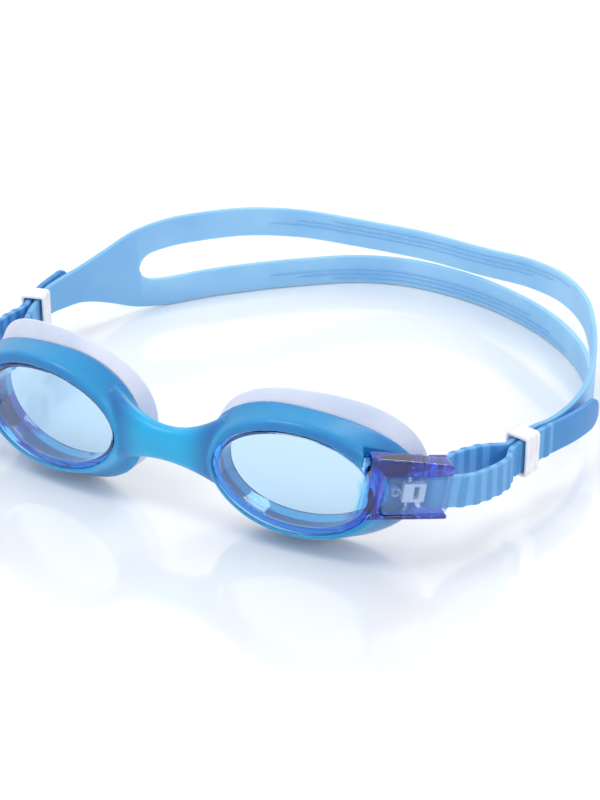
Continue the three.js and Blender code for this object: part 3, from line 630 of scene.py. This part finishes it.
def make_lens():
    """Each lens: a cup with its window, and the arm of rails, hooks and back plate of its buckle."""
    outer = [grown(LENS_EDGE, -GAP, 0.5), grown(LENS_EDGE, -GAP, LIP_THICK + GAP), flange,
             grown(between(seat_front, SEAT_REAR, 0.5), -CUP_AIR), cup_rear]
    inner = [cup_rear_inner, grown(LENS_EDGE, -0.9, LIP_THICK + 2.4), grown(LENS_EDGE, -1.6, 2.3)]
    edge = rounded_rings(outer + inner, [0.25, 0.15, 0.4, 0, 0.5, 0.5, 0.5, 0.8], False)
    front, rear = outer[0], inner[-1]      # the window's two faces
    scales = (0.12, 0.3, 0.5, 0.7, 0.86, 0.95)
    rows = [cup_row(front, scale=k) for k in scales]
    rows += [cup_row(r) for r in edge]
    rows += [cup_row(rear, scale=k) for k in reversed(scales)]
    cup = mesh_object("cup", *skin(rows, False))

    arm = plate([(RAIL_BACK, RAIL_HIGH), (BUCKLE_LONG, RAIL_HIGH), (BUCKLE_LONG, 8.6), (8, 9.9),
                 (RAIL_BACK, 10.8)], [0.9, 1.4, 1.5, 3.5, 0.9], 0, RAIL_DEEP + 0.1)
    hook_end = BUCKLE_LONG - 0.2
    for part in (block(RAIL_BACK, BUCKLE_LONG, 0, RAIL_DEEP + 0.1, RAIL_FOOT, RAIL_LOW),
                 block(RAIL_BACK, PLATE_END, RAIL_DEEP, RAIL_DEEP + PLATE_THICK, RAIL_FOOT, 9),
                 block(HOOK_START, hook_end, 0.1, HOOK_DEEP, RAIL_FOOT + 0.1, RAIL_LOW),
                 block(HOOK_START, hook_end, 0.1, HOOK_DEEP, RAIL_HIGH, 8.2),
                 block(RAIL_BACK, ROOT_END, 0.05, RAIL_DEEP, RAIL_FOOT + 0.1, 8)):
        carve(arm, part, "UNION")
    carve(arm, post(PIVOT_X, PIVOT_Y, BORE_LOW, BORE_HIGH, PIVOT_R + GAP))
    carve(arm, post(ROLLER_X, ROLLER_Y, BORE_LOW, BORE_HIGH, ROLLER_AXLE + GAP))
    remesh(arm, 0.2, 22)
    to_buckle(arm)
    past_wall = 0.6                        # the arm starts inside the cup's wall, off its inner face
    inside = [grown(rear, past_wall, -0.5), grown(inner[1], past_wall, -0.5),
              grown(cup_rear_inner, past_wall), grown(cup_rear_inner, past_wall, 20)]
    carve(arm, ring_plug("hollow", inside))
    carve(arm, ring_plug("lip_room", [grown(LENS_EDGE, 0, -8), grown(LENS_EDGE, 0, 0.2)]))
    carve(cup, to_buckle(block(ROOT_END, 6, -1, 3.5, RAIL_LOW, RAIL_HIGH)))
    carve(cup, arm, "UNION")
    wall_attribute(cup)
    other = mirror_copy(cup, "cup_other")
    for side, obj in (("right", cup), ("left", other)):
        finish_piece(obj, f"tinted_lens_{side}", "goggles", LENS_MAT,
                     [f"lens_{side}"], 32)


# ---- gaskets --------------------------------------------------------------------------------
def make_gasket():
    """Each skirt: from the frame's rear out to a rim that is rolled in against the face."""
    edge = FRAME_REAR.copy()
    edge[0] = GASKET_ROOT_TEMPLE
    root = grown(edge, -0.6, 0.2 + GAP)
    root_inner = grown(SEAT_REAR, 0.5, GAP)
    rim_inner = grown(GASKET_RIM, -1.2, 0.5)
    skirt = ring_tube("skirt", [
        root, between(root, GASKET_RIM, 0.4), between(root, GASKET_RIM, 0.8), GASKET_RIM,
        rim_inner, grown(GASKET_RIM, -3.6, -0.6),
        between(root_inner, grown(GASKET_RIM, -3.4, -1.6), 0.55), root_inner],
        [0.3, 2, 1, 0.45, 0.45, 0.8, 1.5, 0.4], 144)
    for v in skirt.data.vertices:
        v.co.z = max(v.co.z, 0.0)
    other = mirror_copy(skirt, "skirt_other")
    for side, obj in (("right", skirt), ("left", other)):
        finish_piece(obj, f"soft_gasket_{side}", "goggles", GASKET_MAT,
                     [f"gasket_{side}"])


# ---- strap ----------------------------------------------------------------------------------
# around the head from the right to the left: x, y, lower and upper edge
BACK_ROUTE = [
    (81.6, 72, 11.2, 20.4), (83, 82, 10.6, 20.1), (82.9, 92, 9.6, 20.1), (81.2, 103, 7.4, 20.8),
    (77.4, 115, 3.4, 22.6), (73, 125, 0.8, 24.4), (66, 137, 0, 25.4), (55, 148.5, 0, 25.3),
    (40, 158.5, 0, 23.2), (20, 166.2, 0, 20), (0, 168.6, 0, 19.9), (-12, 167, 0, 20.6),
    (-24, 162, 0, 22.6), (-37, 152.4, 0, 26.4), (-50, 140.8, 0, 28.9), (-61, 129, 0, 29.4),
    (-68, 119.8, 0, 29.2), (-74, 110.6, 1.8, 27.4), (-78.8, 101.8, 5.8, 23.6),
    (-81.9, 93, 9, 21.2), (-83.5, 84, 10.2, 20.4)]
SLOT_START, SLOT_END = 4.2, 16.85          # stations between which the strap is two bands
PLAIN_TIP = 24                             # smooth length at both tips, mm
TIP_ROUND = 4                              # length over which a tip is rounded
EASE, TIP_EASE = 0.5, 0.25                 # rounding of the section's corners
DEEP_REACH, DEEP_FADE = 90, 80             # how far the deeper blue runs past the ribbed part
FRONT_START, FRONT_FADE = 25, 30           # where it is a little paler, towards the front
REAR_START, REAR_DEEP = 135, 0.4           # the bands on the back of the head stay pale
BAND_RIBS = [(7.9, 13.6, -0.2), (7.3, 13.1, 1.25), (6.7, 12.4, 2.7)]   # stations, off the middle


def keeper_point(keeper, forward, outer):
    """A point of the outer or inner strap layer where it runs through the keeper."""
    x, y, z, angle = keeper
    side = math.copysign(1, x)
    run = np.array([math.cos(angle), math.sin(angle), 0.0])
    out = np.array([run[1] * side, -run[0] * side, 0.0])
    return np.array([x, y, z]) - run * forward + out * (0.5 if outer else -0.5) * LAYER_STEP


def loose_end(keeper, tail, bulge, hollow):
    """From the tip through the keeper, around the roller and back through the keeper."""
    side = math.copysign(1, keeper[0])
    radius = ROLLER_R + GAP + STRAP_THICK / 2
    straight = 6.5
    wrap = []
    for i in range(8):
        t = (-0.1 + 1.35 * i / 7) * math.pi
        wrap.append(in_buckle(ROLLER_X - radius * math.sin(t), ROLLER_Y - radius * math.cos(t),
                              -0.3, side))
    tail, bulge, hollow = ([np.array(p, float) for p in run] for run in (tail, bulge, hollow))
    return (tail + [keeper_point(keeper, f, True) for f in (-straight, 0, straight)]
            + bulge + wrap + hollow
            + [keeper_point(keeper, f, False) for f in (straight, 0, -straight)])


RIGHT_END = loose_end(KEEPER_RIGHT, [(87, 93, 14.6), (86.6, 86, 15), (85.4, 78, 15.6)],
                      [(80.6, 45.5, 16.9), (79, 36.4, 17.9), (76.6, 29.8, 19)],
                      [(68.2, 34, 19.6), (69.7, 41, 18.6), (72.9, 47.8, 17.6)])
LEFT_END = loose_end(KEEPER_LEFT, [(-87.6, 93, 15.2), (-87.4, 87.5, 15.2), (-86.9, 82, 15.4)],
                     [(-82.3, 55, 16.6), (-80.6, 42, 17.6), (-77.2, 31, 18.9)],
                     [(-68.3, 34.4, 19.5), (-70.4, 43, 18.6), (-74.4, 52, 17.4)])


class Curve:
    """A centripetal Catmull-Rom curve through the strap's stations."""

    def __init__(self, points):
        self.p = [2 * points[0] - points[1], *points, 2 * points[-1] - points[-2]]
        self.n = len(points)

    def __call__(self, at):
        i = clamp(math.floor(at), 0, self.n - 2)
        w = at - i
        a, b, c, d = self.p[i:i + 4]
        d0, d1, d2 = (max(np.linalg.norm(q - r), 1e-3) ** 0.5 for q, r in ((b, a), (c, b), (d, c)))
        t1 = ((b - a) / d0 - (c - a) / (d0 + d1) + (c - b) / d1) * d1
        t2 = ((c - b) / d1 - (d - b) / (d1 + d2) + (d - c) / d2) * d1
        return b + t1 * w + (3 * (c - b) - 2 * t1 - t2) * w ** 2 + (2 * (b - c) + t1 + t2) * w ** 3


def catmull(values, at):
    """A smooth value at a place between the strap's stations."""
    n = len(values)
    i = clamp(math.floor(at), 0, n - 2)
    t = at - i
    a, b, c, d = (values[clamp(k, 0, n - 1)] for k in (i - 1, i, i + 1, i + 2))
    return b + 0.5 * t * (c - a + t * (2 * a - 5 * b + 4 * c - d + t * (3 * (b - c) + d - a)))


back = [np.array([x, y, (low + high) / 2]) for x, y, low, high in BACK_ROUTE]
stations = RIGHT_END + back + LEFT_END[::-1]
halves = ([STRAP_WIDE / 2] * len(RIGHT_END) + [(high - low) / 2 for _, _, low, high in BACK_ROUTE]
          + [STRAP_WIDE / 2] * len(LEFT_END))
route = Curve(stations)
total = len(stations) - 1
first, last = len(RIGHT_END), len(RIGHT_END) + len(back)   # the stations of the part behind the head
ats = np.linspace(0, total, 6001)
walk = np.array([route(a) for a in ats])
lengths = np.concatenate([[0], np.cumsum(np.linalg.norm(np.diff(walk, axis=0), axis=1))])


def at_length(s):
    return float(np.interp(s, lengths, ats))


def length_at(at):
    return float(np.interp(at, ats, lengths))


length = lengths[-1]
ribbed = (length_at(first - 3), length_at(last + 2))       # the plain part lies between these


def strap_frame(at):
    """A point of the strap, its width's direction and the direction its ribbed side faces."""
    near_roller, fade = 5, 9
    p = route(at)
    ahead = route(min(at + 0.01, total)) - route(max(at - 0.01, 0))
    side = 1 if p[0] > 0 else -1
    reach = np.linalg.norm(in_buckle(ROLLER_X, ROLLER_Y, 0, side) - p)
    k = clamp((reach - near_roller) / fade)
    lean = 1 - k * k * (3 - 2 * k)
    up = np.array([0, 0, 1.0]) * (1 - lean) + upright * (side, 1, 1) * lean
    up /= np.linalg.norm(up)
    out = np.cross(up, ahead)
    return p, up, out / np.linalg.norm(out)


def strap_section(at, half, rib, ease):
    """A flat band with softly rounded edges, raised by rib on its ribbed side."""
    p, up, out = strap_frame(at)
    low, high = -STRAP_THICK / 2, STRAP_THICK / 2 + rib
    flat = rounded_outline([(low, -half), (high, -half), (high, half), (low, half)], ease, 4)
    loop = p + flat[:, :1] * out + flat[:, 1:2] * up
    loop[:, 2] = np.maximum(loop[:, 2], 0)
    return loop


def rib_marks():
    """Lengths along the strap at which it gets a section, each with its share of the rib's height."""
    marks = {}
    margin = 3
    rib = PITCH - GROOVE
    climb = ((-0.12, 0), (0.08, 0.5), (0.28, 0.92), (0.5, 1), (rib / 2, 1), (rib - 0.5, 1),
             (rib - 0.28, 0.92), (rib - 0.08, 0.5), (rib + 0.12, 0), (rib + 0.5, 0),
             (rib + GROOVE / 2, 0), (PITCH - 0.5, 0))
    for start, stop, side in ((0, ribbed[0], 1), (ribbed[1], length, -1)):
        tooth = in_buckle(ROLLER_X, ROLLER_Y - ROLLER_R, 0, side)
        inside = (lengths >= start) & (lengths <= stop)
        near = lengths[inside][np.argmin(np.linalg.norm(walk[inside] - tooth, axis=1))]
        for n in range(-30, 31):
            edge = near + GROOVE / 2 + n * PITCH
            for step, rise in climb:
                s = edge + step
                if start + margin < s < stop - margin:
                    marks[round(s, 4)] = rise if min(s, length - s) > PLAIN_TIP else 0
    for s in np.arange(ribbed[0] + 0.5, ribbed[1] - 0.5, 1.4):
        marks[round(float(s), 4)] = 0
    for s in (0, 0.15, 0.4, 0.8, 1.3, 1.9, 2.6):
        marks[s] = 0
        marks[length - s] = 0
    return sorted(marks.items())


def quarter(share):
    """The height of a quarter circle at this share of its run, 0..1, and 1 past its end."""
    return math.sqrt(1 - (1 - share) ** 2) if share < 1 else 1


def strap_slot(steps=140):
    """The room between the two bands, with round ends."""
    end_round = 0.45                       # stations over which the slot opens
    rows = []
    for i in range(steps + 1):
        at = first + SLOT_START + (SLOT_END - SLOT_START) * i / steps
        p = route(at)
        ahead = route(at + 0.01) - route(at - 0.01)
        out = np.array([ahead[1], -ahead[0], 0])
        out /= np.linalg.norm(out)
        wide = max(catmull(halves, at) - BAND, 0.4)
        near = max(min(at - first - SLOT_START, first + SLOT_END - at), 0) / end_round
        tall = wide * (quarter(near) * 0.9 + 0.1)
        rows.append(np.array([p + out * a * 3 + np.array([0, 0, b * tall])
                              for a, b in ((-1, -1), (1, -1), (1, 1), (-1, 1))]))
    return mesh_object("slot", *skin(rows, False))


def band_rib(start, stop, away, top, steps=120):
    """A fine half-round rib along one band, on the side that touches the head."""
    half_wide, high, sunk, end_steps = 0.38, 0.32, 0.02, 6
    rows = []
    for i in range(steps + 1):
        at = first + start + (stop - start) * i / steps
        p, up, out = strap_frame(at)
        half = catmull(halves, at)
        rise = (half - BAND / 2 + away) * (1 if top else -1)
        size = max(quarter(min(i, steps - i) / end_steps), 0.1)
        loop = [p + up * (rise + half_wide * size * math.cos(t))
                - out * (STRAP_THICK / 2 - sunk + high * size * math.sin(t)) * inner_side
                for t in turn(10)]
        rows.append(np.array(loop))
    return mesh_object("rib", *skin(rows, False))


middle = strap_frame(first + 10)
head = np.array([0, ORIGIN[1], 10])
inner_side = 1 if np.dot(middle[2], head - middle[0]) < 0 else -1


def make_strap():
    """One silicone strap: ribbed on both ends, split into two bands behind the head."""
    rows, rises, deeps = [], [], []
    shorter = min(ribbed[0], length - ribbed[1])
    for s, rise in rib_marks():
        at = at_length(s)
        half = catmull(halves, at)
        tip = min(s, length - s)
        rises.append(rise if tip > PLAIN_TIP else 1)
        shape = quarter(tip / TIP_ROUND) * 0.75 + 0.25
        ease = TIP_EASE if tip < 0.2 else EASE
        rows.append(strap_section(at, half * shape, rise * RIB, ease))
        front = clamp((rows[-1][0][1] - FRONT_START) / FRONT_FADE)
        deeps.append(clamp((shorter + DEEP_REACH - tip) / DEEP_FADE) * (0.75 + 0.25 * front))
    strap = mesh_object("strap", *skin(rows, False))
    for name, values in (("rib", rises), ("deep", deeps)):
        float_attribute(strap.data, name, np.repeat(values, len(rows[0])))
    carve(strap, strap_slot())
    soft = strap.modifiers.new("soft", "BEVEL")
    soft.limit_method = "ANGLE"
    soft.angle_limit = math.radians(62)
    soft.width = 0.5
    soft.segments = 3
    apply_modifiers(strap)
    for a, b, away in BAND_RIBS:
        for top in (True, False):
            carve(strap, band_rib(a, b, away, top), "UNION")
    mesh = strap.data
    for v, item in zip(mesh.vertices, mesh.attributes["deep"].data):
        if v.co.y > REAR_START:
            item.value = min(item.value, REAR_DEEP)
    finish_piece(strap, "soft_strap", "goggles", STRAP_MAT, ["strap"], 45)


# ---- keepers --------------------------------------------------------------------------------
def rounded_rect(w, h, r, count=9):
    loop = []
    for cx, cz, start in ((1, 1, 0), (-1, 1, 90), (-1, -1, 180), (1, -1, 270)):
        for k in range(count):
            t = math.radians(start + 90 * k / (count - 1))
            loop.append((cx * (w / 2 - r) + r * math.cos(t), cz * (h / 2 - r) + r * math.sin(t)))
    return np.array(loop)


def make_keeper(side, keeper):
    """A loop with rounded rims and two shallow grooves around it; the profiles run front to rear."""
    wide = LAYER_STEP + STRAP_THICK + 2 * RIB + KEEPER_AIR
    tall = STRAP_WIDE + KEEPER_AIR
    rim = [(2.6, 0), (2.9, -0.2), (KEEPER_HALF, -0.42)]
    groove = [(0.85, 0), (1.05, -0.12), (1.3, -0.38), (1.55, -0.12), (1.75, 0)]
    flank = groove + rim
    outer = [(-y, off) for y, off in reversed(flank)] + flank
    mouth = [(KEEPER_HALF, 0.3), (2.85, 0.1), (2.6, 0)]
    inner = mouth + [(0, 0)] + [(-y, off) for y, off in reversed(mouth)]
    rows = []
    for profile, side_walls, lips, corner in ((outer, KEEPER_SIDE, KEEPER_LIP, 1.1),
                                              (inner, 0, 0, 0.35)):
        for y, off in profile:
            loop = rounded_rect(wide + side_walls + 2 * off, tall + lips + 2 * off, corner)
            rows.append(np.stack([loop[:, 0], np.full(len(loop), y), loop[:, 1]], 1))
    verts, faces = skin(rows, True)
    x, y, z, angle = keeper
    a = angle - math.pi / 2
    turned = np.stack([verts[:, 0] * math.cos(a) - verts[:, 1] * math.sin(a) + x,
                       verts[:, 0] * math.sin(a) + verts[:, 1] * math.cos(a) + y, verts[:, 2] + z], 1)
    obj = mesh_object("keeper", turned, faces)
    finish_piece(obj, f"keeper_loop_{side}", f"keeper_{side}", WHITE_MAT,
                 [f"keeper_{side}"], 50)


# ---- release levers and what shows through them ---------------------------------------------------
def ball(place, radius):
    mesh = bpy.data.meshes.new("ball")
    work = bmesh.new()
    bmesh.ops.create_uvsphere(work, u_segments=32, v_segments=24, radius=radius)
    bmesh.ops.translate(work, verts=work.verts, vec=place)
    work.to_mesh(mesh)
    work.free()
    obj = bpy.data.objects.new("ball", mesh)
    scene.collection.objects.link(obj)
    return obj


def make_lever():
    """The clear cover with its two ears, the pawl behind its free end and the finger dimple."""
    inside = LEVER_THICK - 0.3             # where the ears and the pawl start, within the cover
    pawl_half, pawl_deep = 0.4, 2.1
    cover = plate([(LEVER_START, LEVER_LOW - 0.15), (LEVER_END, LEVER_LOW + 0.35),
                   (LEVER_END, LEVER_HIGH - 0.45), (LEVER_START, LEVER_HIGH)],
                  [1.3, 1.1, 1.1, 1.3], 0, LEVER_THICK)
    for z in (-EAR_AT, EAR_AT):
        low, high = z - EAR_HALF, z + EAR_HALF
        carve(cover, block(PIVOT_X - PIVOT_EAR, PIVOT_X + PIVOT_EAR, inside, PIVOT_Y, low, high),
              "UNION")
        carve(cover, post(PIVOT_X, PIVOT_Y, low, high, PIVOT_EAR), "UNION")
    carve(cover, post(PIVOT_X, PIVOT_Y, -8, 8, PIVOT_R + GAP))
    carve(cover, block(ROLLER_X - pawl_half, ROLLER_X + pawl_half, inside, pawl_deep, -EAR_AT, EAR_AT),
          "UNION")
    remesh(cover, 0.16, 8)
    carve(cover, ball(DIMPLE_AT, DIMPLE_R))
    to_buckle(cover)
    other = mirror_copy(cover, "cover_other")
    for side, obj in (("right", cover), ("left", other)):
        finish_piece(obj, f"clear_lever_{side}", f"lever_{side}", CLEAR_MAT,
                     [f"release_lever_{side}"], 35)


def dress(names, material):
    """Gives CAD nodes that are shown as they are their material."""
    for name in names:
        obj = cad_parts[name]
        obj.data.materials.clear()
        obj.data.materials.append(material)


# ---- floor, light and camera ----------------------------------------------------------------
def studio():
    bpy.ops.mesh.primitive_plane_add(size=12, location=(0, 0, -0.0002))
    floor = bpy.context.object
    floor.name = "floor"
    material, tree, shader = new_material("pale_floor", Roughness=0.10, IOR=2.1)
    base = ramp(tree, noise(tree, 3), [(0.3, (0.93, 0.93, 0.94)), (0.7, (0.95, 0.95, 0.955))])
    tree.links.new(base, shader.inputs["Base Color"])
    floor.data.materials.append(material)
    world = bpy.data.worlds.new("studio")
    scene.world = world
    world.use_nodes = True
    sky = world.node_tree.nodes["Background"]
    sky.inputs["Color"].default_value = (0.97, 0.98, 1.0, 1)
    sky.inputs["Strength"].default_value = 0.93
    for name, place, size, power in (("key", (-0.35, -0.35, 0.9), 0.4, 2.4),
                                     ("fill", (0.8, -0.3, 0.5), 0.2, 1.0),
                                     ("rear", (0.1, 0.8, 0.7), 0.35, 2.0)):
        light = bpy.data.lights.new(name, "AREA")
        light.energy = power
        light.size = size
        lamp = bpy.data.objects.new(name, light)
        lamp.location = place
        lamp.rotation_euler = (-Vector(place)).to_track_quat("-Z", "Y").to_euler()
        scene.collection.objects.link(lamp)


def camera():
    azimuth, elevation, distance = math.radians(28.2), math.radians(28.3), 0.554
    focal_pixels, picture_wide, sensor = 2176, 800, 36
    target = Vector((0.03385, -0.06766, 0.0385))
    offset = Vector((math.cos(elevation) * math.sin(azimuth),
                     -math.cos(elevation) * math.cos(azimuth), math.sin(elevation)))
    data = bpy.data.cameras.new("camera")
    data.sensor_width = sensor
    data.lens = focal_pixels / picture_wide * sensor
    data.clip_start = 0.01
    cam = bpy.data.objects.new("camera", data)
    cam.location = target + offset * distance
    cam.rotation_euler = (-offset).to_track_quat("-Z", "Y").to_euler()
    scene.collection.objects.link(cam)
    scene.camera = cam


camera()
make_frame()
make_lens()
make_gasket()
make_strap()
make_keeper("right", KEEPER_RIGHT)
make_keeper("left", KEEPER_LEFT)
make_lever()
dress(["hinge_clip_right", "hinge_clip_left"], CLIP_MAT)
dress(["strap_roller_right", "strap_roller_left"], WHITE_MAT)
dress([f"{part}_{side}" for part in ("lever_pin", "lever_spring", "roller_axle")
       for side in ("right", "left")], STEEL_MAT)
studio()
scene.view_settings.view_transform = "Standard"
